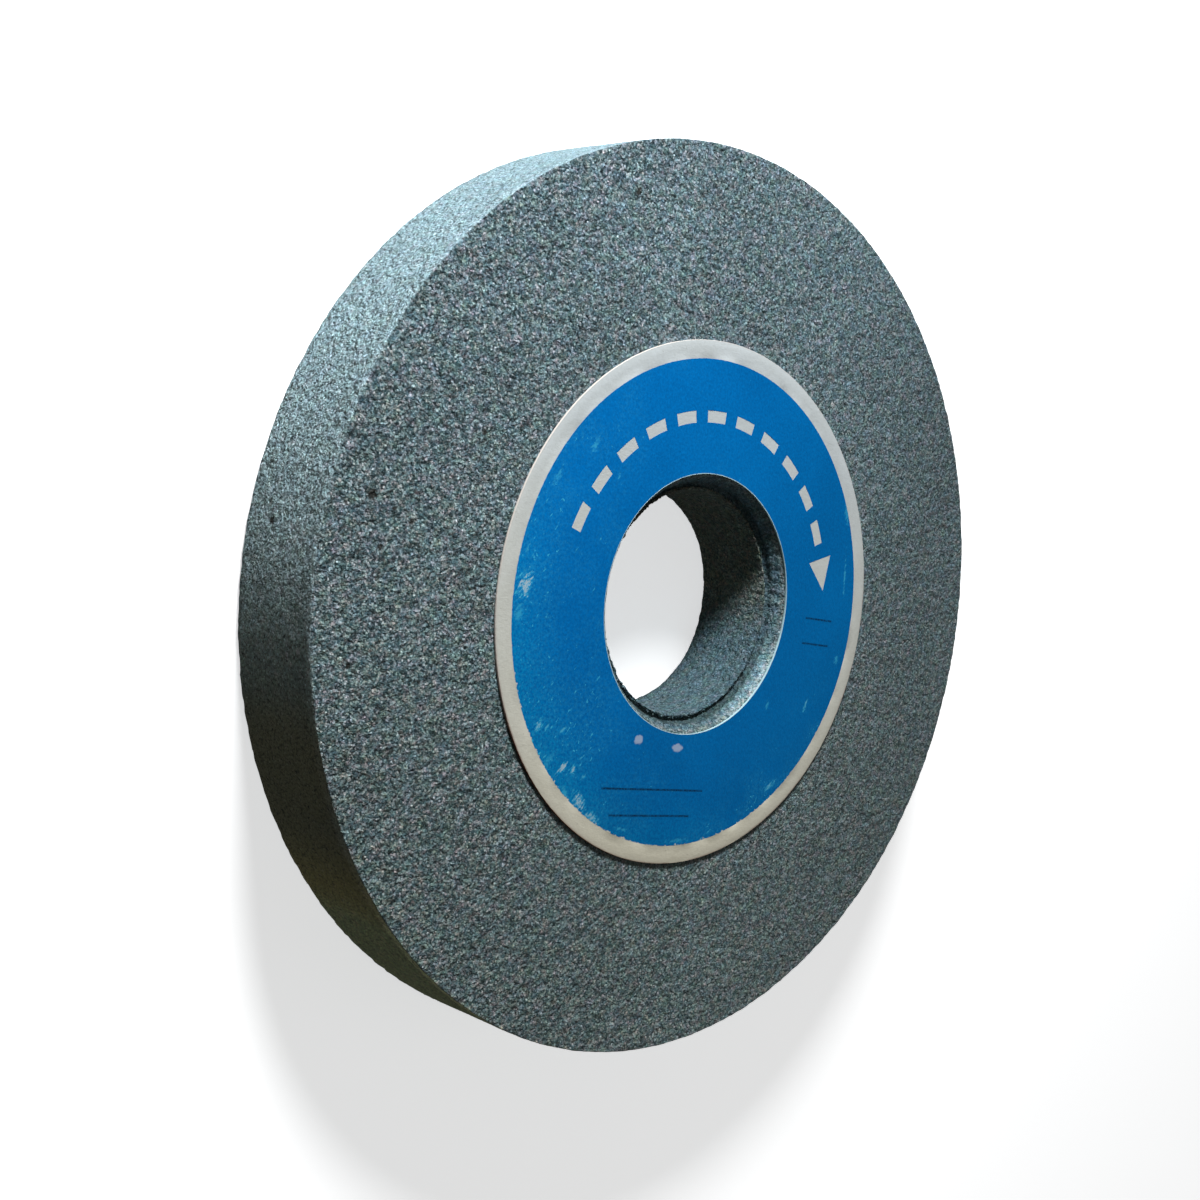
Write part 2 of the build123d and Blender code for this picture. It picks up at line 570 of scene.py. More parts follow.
def wheel_section():
    """Half section of the grit body. Its rim lies under the CAD surface, and crystals stand out of it."""
    size = settings("grinding_wheel")
    _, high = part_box("abrasive_wheel")
    face = high.z
    rim = high.x - 0.5 * settings("grinding_grains").stand
    open_face = face - size.face_sink
    front_centre, front_inner, front_outer = ring_of("front_blotter")
    _, rear_inner, rear_outer = ring_of("rear_blotter")
    offset = Vector((front_centre.x, front_centre.y)).length
    bore, lip, groove, mouth = mouth_radii()
    lip_top = face - size.lip_depth
    floor = lip_top - size.groove_depth
    lip_round = min(size.lip_round, 0.45 * size.lip_width)
    floor_round = 0.45 * size.groove_width
    edge = size.edge_round
    wall = bore + 0.1 * MM
    wall_top = lip_top - lip_round

    # The paper covers the face up to here, and the step down to the open face hides under it
    tuck = 0.5 * MM
    step = 0.3 * MM
    front_start = front_inner + offset + tuck
    front_end = front_outer - offset - tuck
    rear_start = rear_inner + tuck
    rear_end = rear_outer - tuck

    # Distance between rings of faces: under paper, on open grit, in the bore and on small walls
    hidden = 7 * MM
    fine = size.face_spacing
    long_wall = 1.1 * MM
    slope = 0.6 * MM
    small = 0.3 * MM

    line = Section()
    line.line((mouth, face), (front_start, face), fine, 0.5, MOUTH_RING)
    line.line((front_start, face), (front_end - step, face), hidden, 0, MOUTH_RING)
    line.line((front_end - step, face), (front_end, open_face), hidden, 0, MOUTH_RING)
    line.line((front_end, open_face), (rim - edge, open_face), fine, 1, FRONT_FACE)
    line.arc((rim - edge, open_face - edge), edge, 90, 0, 4, 0.9, RIM)
    line.line((rim, open_face - edge), (rim, edge - open_face), fine, 0.55, RIM)
    line.arc((rim - edge, edge - open_face), edge, 0, -90, 4, 0.9, RIM)
    line.line((rim - edge, -open_face), (rear_end, -open_face), fine, 1, REAR_FACE)
    line.line((rear_end, -open_face), (rear_end - step, -face), hidden, 0, REAR_HIDDEN)
    line.line((rear_end - step, -face), (rear_start, -face), hidden, 0, REAR_HIDDEN)
    line.line((rear_start, -face), (bore + size.rear_cone, -face), fine, 0.6, REAR_HIDDEN)
    line.line((bore + size.rear_cone, -face), (wall, size.rear_cone - face), fine, 1, BORE)
    line.line((wall, size.rear_cone - face), (wall, wall_top), long_wall, 0.7, BORE)
    line.arc((wall + lip_round, wall_top), lip_round, 180, 90, 3, 2.2, MOUTH)
    line.arc((lip - lip_round, wall_top), lip_round, 90, 0, 3, 2.6, MOUTH)
    line.line((lip, wall_top), (lip, floor + floor_round), small, 2.4, MOUTH)
    line.arc((lip + floor_round, floor + floor_round), floor_round, 180, 270, 3, 0.5, MOUTH)
    line.arc((groove - floor_round, floor + floor_round), floor_round, 270, 360, 3, 0.5, MOUTH)
    line.line((groove, floor + floor_round), (groove, face - size.flare_depth), small, 2.0, MOUTH)
    line.line((groove, face - size.flare_depth), (mouth, face), slope, 1, MOUTH)
    line.close()
    return line


def blotter_section(inner, outer, bottom, top, field=None, field_top=None):
    """Half section of a blotter with soft cut edges, lowered by the ink's height where it is printed."""
    size = settings("grinding_blotters")
    cut = size.cut_round
    spacing = size.row_spacing
    hidden = 7 * MM
    print_step = 0.02 * MM
    field_top = top if field_top is None else field_top
    line = Section()
    line.arc((inner + cut, field_top - cut), cut, 180, 90, 3, 0, 0)
    if field:
        line.line((inner + cut, field_top), (field - print_step, field_top), spacing, 1, 0)
        line.line((field - print_step, field_top), (field, top), spacing, 0, 0)
    line.line((field or inner + cut, top), (outer - cut, top), spacing, 1, 0)
    line.arc((outer - cut, top - cut), cut, 90, 0, 3, 0.5, 1)
    line.arc((outer - cut, bottom + cut), cut, 0, -90, 3, 0, 1)
    line.line((outer - cut, bottom), (inner + cut, bottom), hidden, 0, 2)
    line.arc((inner + cut, bottom + cut), cut, 270, 180, 3, 0, 3)
    line.close()
    return line


# Crystals

def grain_tree():
    """A tree that scatters crystals over a band of strips and sinks each until only its tip stands out."""
    group, tree, wire = geometry_tree("crystals", {
        "First Strip": "Int", "Last Strip": "Int", "Spacing": "Float", "Size": "Float", "Stand": "Float",
        "Cover Centre": "Vector", "Cover Radius": "Float", "Seed": "Int", "Material": "Material",
    })
    strip = tree.named("strip", "INT")
    chosen = (strip > wire["First Strip"] - 0.5) * (strip < wire["Last Strip"] + 0.5)
    most_points = wire["Spacing"] ** -2.0 * 3
    points = tree.node("GeometryNodeDistributePointsOnFaces", {
        "Mesh": wire["Geometry"], "Selection": chosen, "Distance Min": wire["Spacing"],
        "Density Max": most_points, "Seed": wire["Seed"]}, distribute_method="POISSON")

    from_cover = tree.vector("SUBTRACT", tree.node("GeometryNodeInputPosition"), wire["Cover Centre"])
    covered = tree.radius(from_cover) < wire["Cover Radius"]
    open_points = tree.node("GeometryNodeDeleteGeometry", [points, covered], domain="POINT")

    def random(low, high, seed, kind="FLOAT"):
        return tree.node("FunctionNodeRandomValue", {
            "Min": low, "Max": high, "Seed": wire["Seed"] + seed}, data_type=kind)

    length = wire["Size"] * random(0.62, 1.0, 1) * tree.named("rough").least(1.4)
    depth = (length - wire["Stand"] * random(0.25, 1.0, 2)).most(length * 0.35)
    sunk = tree.node("GeometryNodeSetPosition", {
        "Geometry": open_points, "Offset": tree.scaled(points.other("Normal"), depth * -1)})
    block = tree.node("GeometryNodeMeshUVSphere", {"Segments": 3, "Rings": 2, "Radius": 1.0})
    shard = tree.node("GeometryNodeTransform", {
        "Geometry": tree.node("GeometryNodeMeshCone", {
            "Vertices": 3, "Radius Top": 0.0, "Radius Bottom": 1.0, "Depth": 1.4}),
        "Translation": (0, 0, -0.4)})
    shapes = tuple(tree.node("GeometryNodeGeometryToInstance", [shape]) for shape in (block, shard))
    grown = tree.node("GeometryNodeInstanceOnPoints", {
        "Points": sunk,
        "Instance": tree.node("GeometryNodeJoinGeometry", {"Geometry": shapes}),
        "Pick Instance": True,
        "Instance Index": random(0, 1, 3, "INT"),
        "Rotation": tree.node("FunctionNodeEulerToRotation", [
            random((0, 0, 0), (tau, tau, tau), 4, "FLOAT_VECTOR")]),
        "Scale": tree.scaled(random((0.6, 0.6, 0.6), (1, 1, 1), 5, "FLOAT_VECTOR"), length)})
    picked = tree.stored(
        grown, "pick", random((0, 0, 0), (1, 1, 1), 6, "FLOAT_VECTOR"), "FLOAT_VECTOR", "INSTANCE")
    close_tree(tree, picked, wire["Material"], False)
    return group


def map_crystals(mesh):
    """Gives every face of the crystals a small cell of its own in the bake map."""
    mesh.update()
    faces = len(mesh.polygons)
    side = ceil(faces ** 0.5)
    cell = np.arange(faces)
    low = np.stack([cell % side, cell // side], axis=1)[:, None, :]
    corner = np.array([(0.15, 0.15), (0.85, 0.15), (0.15, 0.85)])[None, :, :]
    uv = ((low + corner) / side).astype(np.float32)
    layer = mesh.uv_layers.new(name=BAKE_MAP)
    layer.data.foreach_set("uv", uv.ravel())


def crystals(name, body, strips, seed, share=1.0, cover=None):
    """One piece of crystals over a band of the body's strips."""
    size = settings("grinding_grains")
    centre, radius = cover or (Vector((0, 0, 0)), 0.0)
    piece = new_piece(name, body.data.copy())
    group = bpy.data.node_groups.get("crystals") or grain_tree()
    mesh = run_tree(piece, group, {
        "First Strip": strips[0], "Last Strip": strips[1], "Spacing": size.spacing * share,
        "Size": size.size * share, "Stand": size.stand * share, "Cover Centre": centre[:],
        "Cover Radius": radius, "Seed": seed, "Material": bpy.data.materials["broken_crystals"],
    })
    map_crystals(mesh)
    return piece


# Materials

# Large pits in the faces and the rim: place and radius
PITS = [
    (-68.7, 8.6, 9.4, 0.50),
    (-66.1, 1.4, 9.4, 0.20),
    (-64.7, 7.2, 9.4, 0.10),
    (-61.5, 5.7, 9.4, 0.15),
    (-68.5, -15.5, 9.4, 0.20),
    (-50.8, 20.4, 9.4, 0.15),
    (-27.6, 62.7, 9.4, 0.35),
    (-75.9, 3.0, -3.0, 0.35),
    (52.0, -31.0, -9.4, 0.50),
    (-40.0, -52.0, -9.4, 0.40),
]
# How much red, green and blue a place gives back, as a share of the colour that it would have elsewhere;
# some of these are painted light and shade, as their names and notes say
DRESSED_RIM = (2.85, 3.15, 3.25)
# Painted light on the rim's low side
LOW_RIM_PAINTED_LIGHT = (2.0, 1.75, 1.1)
MOUTH_SHADE = (0.60, 0.77, 0.86)
LIT_SLOPE = (2.25, 2.1, 2.05)
# Dirt and painted shade: darker in the groove and on the grit low on the wheel
DIRT_AND_SHADE = (0.50, 0.55, 0.52)
# Painted warm light in the shaded upper half of the bore
UPPER_BORE_WARM_LIGHT = (1.8, 1.2, 0.85)
YELLOWED = (1.47, 1.19, 0.76)
TEAL_HAZE = (1.0, 1.55, 1.06)
# Mixed in where a surface lies in shade
BLACK = (0.0, 0.0, 0.0)
# Directions from the axis in degrees, anticlockwise from +X
LIT_SLOPE_BEARING = -36.87
GRIME_AND_SHADE_BEARING = 210
LOW_RIM_LIGHT_BEARING = 245
DIRT_AND_SHADE_BEARING = 265
# Roughness of grit, and of the few facets and crystals that glint
MATT = 0.72
GLINT = 0.27
CRYSTAL_IOR = 1.8
# How deep the paper's fibres and the grit below it show
PAPER_RELIEF_MM = 0.03


def new_material(name):
    """An empty node material and its tree."""
    material = bpy.data.materials.new(name)
    material.use_nodes = True
    material.node_tree.nodes.clear()
    return material, Tree(material.node_tree)


def surface(tree, colour, roughness, normal=None, **constants):
    """Ends a material in one Principled shader."""
    inputs = {"Base Color": colour, "Roughness": roughness}
    for name, value in constants.items():
        inputs[name.replace("_", " ").title().replace("Ior", "IOR")] = value
    if normal:
        inputs["Normal"] = normal
    shader = tree.node("ShaderNodeBsdfPrincipled", inputs)
    tree.node("ShaderNodeOutputMaterial", {"Surface": shader})


def place_mm(tree, centre=(0, 0, 0)):
    """Where a point lies on the object, in millimetres from a centre in metres."""
    return tree.node("ShaderNodeMapping", {
        "Vector": tree.node("ShaderNodeTexCoord", output="Object"),
        "Location": [-part / MM for part in centre],
        "Scale": (1 / MM, 1 / MM, 1 / MM)})


def bump(tree, height, distance_mm):
    """A normal from a height, which counts in units of this distance."""
    return tree.node("ShaderNodeBump", {"Strength": 1.0, "Distance": distance_mm * MM, "Height": height})


def strongest(marks):
    """The strongest of several masks at each place."""
    return reduce(Wire.most, marks)


def body_mm():
    """Radii of the lip, the groove's outer wall, the mouth and the rim, and the height of the face."""
    _, lip, groove, mouth = mouth_radii()
    _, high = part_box("abrasive_wheel")
    return [size / MM for size in (lip, groove, mouth, high.x, high.z)]


def evenness(tree, place):
    """How far dust has evened out the grit, from nothing on one side of the wheel to half on the other."""
    at_axis = 0.24
    growth = 0.0036
    x, _, _ = tree.xyz(place)
    return (at_axis + x * growth).most(0.0)


def pits(tree, place):
    """Mask of the few large pits, each a hollow where a clump has broken out, painted near-black as shade.
    """
    uneven = tree.noise(place, 2.2, 3.0, 0.7) * 1.4

    def pit(across, up, height, radius):
        away = tree.node(
            "ShaderNodeVectorMath", [place, (across, up, height)], "Value", operation="DISTANCE")
        return (away + uneven).ramp(radius + 1.15, radius + 0.75)

    return strongest(pit(*row) for row in PITS)


def lumps(tree, place):
    """Height in millimetres of the clumps in the grit, for the shade on their low sides."""
    return tree.noise(place, 0.8, 3.0, 0.6, 0.3) * 1.15


def facets(tree, place, cell):
    """Height in millimetres of flat facets that each lean their own way, from a Voronoi node's outputs."""
    reach = tree.vector("SUBTRACT", place, cell.other("Position"))
    lean = tree.vector("SUBTRACT", cell.other("Color"), (0.5, 0.5, 0.5))
    return tree.node("ShaderNodeVectorMath", [reach, lean], "Value", operation="DOT_PRODUCT")


def dirt(tree, place):
    """Mask of dirt and painted shade on the rim and in the groove behind the lip: ragged, and thickest low
    down, away from the key light.
    """
    lip, _, _, _, face = body_mm()
    _, _, z = tree.xyz(place)
    uneven = tree.noise(place, 1.1, 4.0, 0.75)
    outside_lip = (tree.radius(place) + uneven * 0.8).ramp(lip + 0.45, lip + 0.65)
    below_face = (z + uneven * 3.6).ramp(face + 0.475, face - 0.225)
    low = (tree.bearing(place, DIRT_AND_SHADE_BEARING) + uneven * 0.5).ramp(0.35, 0.95)
    return outside_lip * below_face * (0.25 + 0.75 * low)


def crystal_colour(tree, place, level):
    """Green-grey crystals from dark to near white by their level, the lightest a painted glint, with tints
    that drift between clumps.
    """
    # The top stops are painted glints: the lightest crystals go near white
    shade = tree.shades(
        level,
        (0.0, (0.05, 0.19, 0.24)),
        (0.25, (0.30, 0.46, 0.51)),
        (0.50, (0.92, 0.94, 0.95)),
        (0.75, (1.66, 1.49, 1.48)),
        (0.90, (2.70, 2.25, 2.25)),
        (1.0, (5.00, 4.20, 4.20)))
    drift = tree.shades(
        tree.noise(place, 1.0, 3.0, 0.65),
        (0.30, (1.18, 0.95, 1.02)),
        (0.44, (1.05, 1.0, 1.0)),
        (0.56, (0.84, 1.03, 1.07)),
        (0.70, (0.98, 1.03, 0.90)))
    patch = tree.noise(place, 0.6, 1.0).other("Color")
    speckle = tree.vector("MULTIPLY_ADD", patch, (0.5, 0.2, 0.5), (0.75, 0.9, 0.75))
    return tree.tint(tree.tint(shade, tree.tint(drift, speckle)), settings("grinding_finish").grit)


def mouth_colour(tree, place, colour):
    """The stepped mouth and the bore: shaded, light on the slope, darkened by dirt and painted shade, and
    lit warm by painted light in the bore's upper half.
    """
    lip, groove, mouth, _, face = body_mm()
    foot = face - settings("grinding_wheel").flare_depth / MM
    radius = tree.radius(place)
    _, y, z = tree.xyz(place)
    slope = radius.ramp(groove - 0.1, groove + 0.2) * radius.ramp(mouth + 0.4, mouth + 0.1)
    slope = slope * z.ramp(foot - 0.225, foot + 0.175)
    facing = tree.bearing(place, LIT_SLOPE_BEARING).ramp(0.88, 1.0)
    colour = tree.tint(colour, MOUTH_SHADE, radius.ramp(mouth - 0.2, mouth - 0.6))
    colour = tree.tint(colour, LIT_SLOPE, slope * (0.12 + 0.88 * facing))
    # Dirt and painted shade, thickest low down
    colour = tree.tint(colour, DIRT_AND_SHADE, dirt(tree, place))
    # Painted warm light in the bore's shaded upper half
    return tree.tint(colour, UPPER_BORE_WARM_LIGHT, radius.ramp(lip + 0.2, lip - 0.15) * y.ramp(-7.0, 7.0))


def grit_colour(tree, place, tone, even):
    """Colour of grit by how light it is, with the dust of its place and painted light and shade: dirt and
    shade low down, a warm cast, grime and shade on the rim's lower left, light on the rim's low side and
    shade towards +X.
    """
    finish = settings("grinding_finish")
    _, _, _, rim, face = body_mm()
    x, y, z = tree.xyz(place)
    on_rim = tree.radius(place).ramp(rim - 0.8, rim - 0.2) * z.size().ramp(face - 0.075, face - 0.325)
    patches = tree.noise(place, 0.045, 3.0, 0.6)
    colour = crystal_colour(tree, place, 0.5 + (tone - 0.5) * (1 - 0.75 * even))
    dressed_and_shaded = tree.mix(0.6, tree.tint(colour, DRESSED_RIM), finish.dust)
    # Painted shade: the rim darkens a little towards the front face
    dressed_and_shaded = tree.mix(z.ramp(1.0, 9.5) * 0.12, dressed_and_shaded, BLACK)
    colour = mouth_colour(tree, place, tree.mix(on_rim, colour, dressed_and_shaded))
    # Painted light colour: cooler towards the key light's side, warmer away from it
    painted_warm_cast = (0.5 - y * 0.0065).ramp(0.0, 1.0)
    colour = tree.tint(colour, tree.shades(painted_warm_cast, (0.0, (0.95, 1.0, 1.05)), (1.0, (1.04, 1.0, 0.94))))
    # Grime and painted shade on the rim's lower left, where it turns from the key light
    grime_and_shade_mask = (tree.bearing(place, GRIME_AND_SHADE_BEARING) + patches * 0.02).ramp(0.97, 1.0) * patches.ramp(0.1, 0.4)
    colour = tree.mix(on_rim * grime_and_shade_mask * 0.62, colour, finish.grime_and_shade)
    # Painted light on the rim's low side
    colour = tree.tint(colour, LOW_RIM_PAINTED_LIGHT, on_rim * tree.bearing(place, LOW_RIM_LIGHT_BEARING).ramp(0.83, 0.95))
    # Painted shade: darker towards +X, away from the key light
    colour = tree.mix((x / 72).ramp(0.2, 1.0) * 0.25, colour, BLACK)
    return tree.tint(colour, tree.shades(patches, (0.3, (0.90, 0.90, 0.90)), (0.7, (1.08, 1.08, 1.08))))


def fired_grit():
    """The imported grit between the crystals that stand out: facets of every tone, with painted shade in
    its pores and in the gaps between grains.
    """
    material, tree = new_material("fired_grit")
    finish = settings("grinding_finish")
    coarse_mm = 0.36
    fine_mm = 0.19
    place = place_mm(tree)
    elsewhere = tree.vector("ADD", place, (31.0, 17.0, 5.0))
    coarse = tree.cells(place, 1 / coarse_mm)
    fine = tree.cells(elsewhere, 1 / fine_mm)
    tone, _, glint = tree.xyz(coarse.other("Color"))
    speck, _, _ = tree.xyz(fine.other("Color"))
    even = evenness(tree, place)
    # Painted shade: dark at the cells' edges between grains, and in the pores
    gaps = coarse.ramp(0.50, 0.85)
    holes = tree.noise(place, 1.05, 4.0, 0.7).ramp(0.40, 0.33)
    colour = grit_colour(tree, place, tone * 0.65 + speck * 0.35, even)
    open_pore_shade = (gaps * 0.55).most(holes * 0.9) * (1 - 0.6 * even)
    colour = tree.mix(open_pore_shade, colour, finish.pore_shade)
    hole = pits(tree, place)
    # Painted shade: the pits' hollows go near-black
    colour = tree.mix(hole, colour, finish.pit)
    deep = open_pore_shade.most(hole)
    height = facets(tree, place, coarse) + facets(tree, elsewhere, fine) * 0.8 + lumps(tree, place)
    height = height * (1 - 0.5 * even) - deep * 0.12
    roughness = MATT - (MATT - GLINT) * glint.ramp(0.90, 0.97)
    surface(tree, colour, roughness, bump(tree, height, 1.0))
    return material


def broken_crystals():
    """Crystals that stand out of the surface: each has its own tone, and a few are glossy."""
    material, tree = new_material("broken_crystals")
    finish = settings("grinding_finish")
    place = place_mm(tree)
    tone, _, glint = tree.xyz(tree.node("ShaderNodeAttribute", output="Vector", attribute_name="pick"))
    chips = tree.noise(place, 4.5, 3.0)
    even = evenness(tree, place)
    colour = grit_colour(tree, place, tone * 0.75 + chips * 0.25, even)
    # Painted shade: the pits' hollows go near-black
    colour = tree.mix(pits(tree, place), colour, finish.pit)
    roughness = MATT - (MATT - GLINT) * glint.ramp(0.78, 0.86)
    height = (lumps(tree, place) + chips * 0.25) * (1 - 0.4 * even)
    surface(tree, colour, roughness, bump(tree, height, 1.0), ior=CRYSTAL_IOR)
    return material


def aged(tree, place, colour):
    """Card that has yellowed, most of all low on the blotter."""
    _, y, _ = tree.xyz(place)
    age = (0.38 - y * 0.0145).most(0.0)
    return tree.tint(colour, YELLOWED, age * 0.55)


def stained(tree, place, colour, fibres, radius, outer_mm):
    """Paper with fibres, faint stains and rubbed-in specks; along its cut edge old glue and painted shade
    on the low side, and a painted highlight of clean card on the upper side.
    """
    finish = settings("grinding_finish")
    x, y, _ = tree.xyz(place)
    cloud = tree.noise(place, 0.11, 3.0, 0.6)
    colour = tree.tint(colour, tree.shades(
        fibres * 0.5 + cloud * 0.5, (0.35, (0.93, 0.92, 0.90)), (0.65, (1.05, 1.05, 1.06))))
    colour = aged(tree, place, colour)
    # Low side: old glue, and painted shade on the cut edge; the upper side's cut edge gets a painted
    # highlight of clean card
    glue_and_shade_side = (0.35 - y * 0.035 + x * 0.01).ramp(0.0, 1.0)
    edge = radius.ramp(outer_mm - 0.40, outer_mm - 0.05) * cloud.ramp(0.36, 0.60)
    colour = tree.mix(edge * (0.12 + 0.45 * glue_and_shade_side), colour, finish.stain)
    cut = radius.ramp(outer_mm - 0.10, outer_mm - 0.02)
    colour = tree.mix(cut, colour, tree.mix(glue_and_shade_side, finish.card, finish.stain))
    specks = tree.noise(place, 2.2, 3.0, 0.7).ramp(0.64, 0.74) * 0.35
    return tree.mix(specks, colour, finish.speck)


def pressed_grit(tree, place):
    """The grit below the paper, as it shows through."""
    return tree.noise(place, 1.3, 2.0)


def blotter_paper(name, base, node):
    """The pale card of a blotter, pressed over the grit."""
    material, tree = new_material(name)
    finish = settings("grinding_finish")
    centre, inner, outer = ring_of(node)
    place = place_mm(tree, centre)
    radius = tree.radius(place)
    drawn_out = tree.node("ShaderNodeMapping", {"Vector": place, "Scale": (1.0, 3.0, 1.0)})
    fibres = tree.noise(drawn_out, 1.6, 4.0, 0.65)
    colour = stained(tree, place, base, fibres, radius, outer / MM)
    cut = radius.ramp(inner / MM + 0.16, inner / MM + 0.04)
    colour = tree.mix(cut, colour, finish.cut_edge)
    normal = bump(tree, fibres + pressed_grit(tree, place) * 1.5, PAPER_RELIEF_MM)
    surface(tree, colour, 0.82, normal, specular_ior_level=0.25)
    return material


# Scuffs on the print: place, length, width and turn in degrees, and how much ink is gone
SCUFFS = [
    (-39.2, -0.8, 4.6, 3.0, 72, 1.0),
    (-39.6, -5.2, 3.0, 1.8, 80, 0.45),
    (-39.8, 4.6, 1.8, 0.7, 75, 0.7),
    (-32.4, -22.0, 2.4, 1.4, 60, 0.75),
    (-30.6, -22.2, 1.2, 0.6, 50, 0.6),
    (-27.0, -22.4, 2.6, 0.6, 25, 0.6),
    (-29.4, -27.6, 4.4, 1.5, 55, 0.35),
    (-26.2, -28.5, 2.6, 1.2, 48, 0.95),
    (-23.8, -28.7, 1.9, 1.0, 75, 0.85),
    (-21.3, -29.8, 1.6, 0.6, 45, 0.6),
    (-22.3, -26.7, 1.3, 0.4, 40, 0.6),
    (-24.8, -32.4, 3.4, 1.0, -50, 0.5),
    (-21.6, -33.8, 4.2, 2.4, -40, 1.0),
    (-18.4, -36.4, 4.0, 1.9, -25, 0.8),
    (-11.3, -38.2, 3.6, 0.7, -10, 0.45),
    (2.4, -40.2, 6.0, 0.8, 5, 0.35),
    (24.4, -30.3, 3.4, 1.3, 30, 0.65),
    (38.2, -6.3, 2.6, 1.0, 80, 0.5),
    (31.2, -15.4, 2.6, 0.8, 75, 0.65),
    (20.6, -16.0, 2.0, 0.8, 80, 0.45),
    (37.0, 9.2, 8.0, 0.6, 98, 0.5),
    (35.0, 20.6, 5.0, 1.4, 110, 0.4),
    (-36.1, 16.0, 3.0, 1.2, 60, 0.45),
    (-29.2, 22.3, 3.4, 1.3, 75, 0.5),
    (-23.2, 18.2, 1.6, 0.7, 75, 0.5),
]
# Oval spots of bare paper under the bore: place and half sizes
SPOTS = [(-10.2, -23.4, 1.0, 0.85), (-0.8, -24.4, 1.3, 0.75)]
# Ruled lines on the print: middle and length
RULES = [(-5.0, -31.6, 24.0), (-5.0, -36.0, 19.0), (31.4, 0.4, 7.5), (31.4, -4.2, 7.5)]


def streaks(tree, place, turn, across, along):
    """Noise drawn out into strokes of this width and length, turned from the X axis by degrees."""
    drawn = tree.node("ShaderNodeMapping", {
        "Vector": place, "Rotation": (0, 0, radians(turn)), "Scale": (along, across, 1.0)},
        vector_type="TEXTURE")
    return tree.noise(drawn, 1.0, 3.0, 0.6)


def scuffs(tree, place):
    """How much ink the listed scuffs have taken off, from 0 to 1, in strokes and ragged crumbs."""
    crumbs = tree.noise(place, 2.2, 4.0, 0.75)
    texture = streaks(tree, place, 48, 0.45, 1.5) + crumbs * 0.75 - 1.145
    x, y, _ = tree.xyz(place)

    def scuff(across, up, length, width, turn, depth):
        c, s = cos(radians(turn)), sin(radians(turn))
        along = ((x - across) * c + (y - up) * s) / (length * 0.7)
        beside = ((y - up) * c - (x - across) * s) / (width * 0.7)
        away = (along * along + beside * beside) ** 0.5
        return ((1.4 - away) * 0.45 + texture).ramp(0.0, 0.35) * depth

    return strongest(scuff(*row) for row in SCUFFS)


def spots(tree, place):
    """Masks of the round bare spots, joined."""
    x, y, _ = tree.xyz(place)
    uneven = tree.noise(place, 1.1) * 0.9

    def spot(across, up, width, height):
        beside = (x - across) / width
        above = (y - up) / height
        return ((beside * beside + above * above) ** 0.5 + uneven).ramp(1.55, 1.15)

    return strongest(spot(*row) for row in SPOTS)


def rules(tree, place):
    """Mask of the thin ruled lines."""
    x, y, _ = tree.xyz(place)

    def rule(across, up, length):
        along = (x - across).size().ramp(length / 2 + 0.1, length / 2 - 0.1)
        return along * (y - up).size().ramp(0.24, 0.12)

    return strongest(rule(*row) for row in RULES)


def flecks(tree, place):
    """Strokes and specks where ink is scraped thin: many to the left and low, few elsewhere."""
    x, y, _ = tree.xyz(place)
    cloud = tree.noise(place, 0.14, 2.0)
    left = ((-8.0 - x) * 0.020 - y * 0.006 + (cloud - 0.5) * 1.8 + 0.20).ramp(0.0, 1.0)
    low_right = (x * 0.02 - y * 0.026 - 0.85).ramp(0.0, 0.5) * cloud.ramp(0.40, 0.60)
    busy = left.most(low_right)
    limit = 0.72 - 0.095 * busy
    strokes = streaks(tree, place, 58, 0.65, 2.0) - limit
    crumbs = tree.noise(place, 1.25, 3.0, 0.65) - limit
    haze = ((tree.noise(place, 1.6, 4.0, 0.75) - 0.42) * 1.5).most(0.0) * (0.06 + 0.45 * busy)
    return (strokes.most(crumbs).ramp(0.0, 0.08) * (0.45 + 0.45 * busy)).most(haze)


def mottled_ink(tree, place, radius, mottle):
    """Blue ink, brighter to the upper left by painted light towards the key, with a teal haze near the
    border to the lower left.
    """
    x, y, _ = tree.xyz(place)
    slow = tree.noise(place, 0.05, 2.0)
    colour = tree.tint(settings("grinding_finish").ink, tree.shades(
        slow * 0.3 + mottle * 0.7, (0.37, (0.6, 0.79, 0.82)), (0.63, (1.5, 1.21, 1.18))))
    # Painted light: brighter and bluer towards the key light at the upper left
    key_side_light = 0.5 + (y * 0.6 - x) * 0.0115
    colour = tree.tint(colour, tree.shades(key_side_light, (0.0, (0.90, 0.89, 0.88)), (1.0, (1.0, 1.07, 1.13))))
    low_left = ((x + y) * -0.018 + slow * 0.6).ramp(0.6, 1.5)
    haze = low_left * radius.ramp(28.0, 42.0) * mottle.ramp(0.35, 0.6)
    return tree.tint(colour, TEAL_HAZE, haze * 0.7)


def bare_border(tree, place, radius, outer_mm):
    """Mask of the bare paper outside the print, whose edge is chipped low on the blotter."""
    x, y, _ = tree.xyz(place)
    low = (0.1 - y * 0.02 - x * 0.004).ramp(0.0, 0.9)
    ragged = (tree.noise(place, 1.1, 3.0, 0.7) - 0.5) * (low * 1.7 + 0.15)
    return (radius + ragged).ramp(outer_mm - 0.06, outer_mm + 0.06)


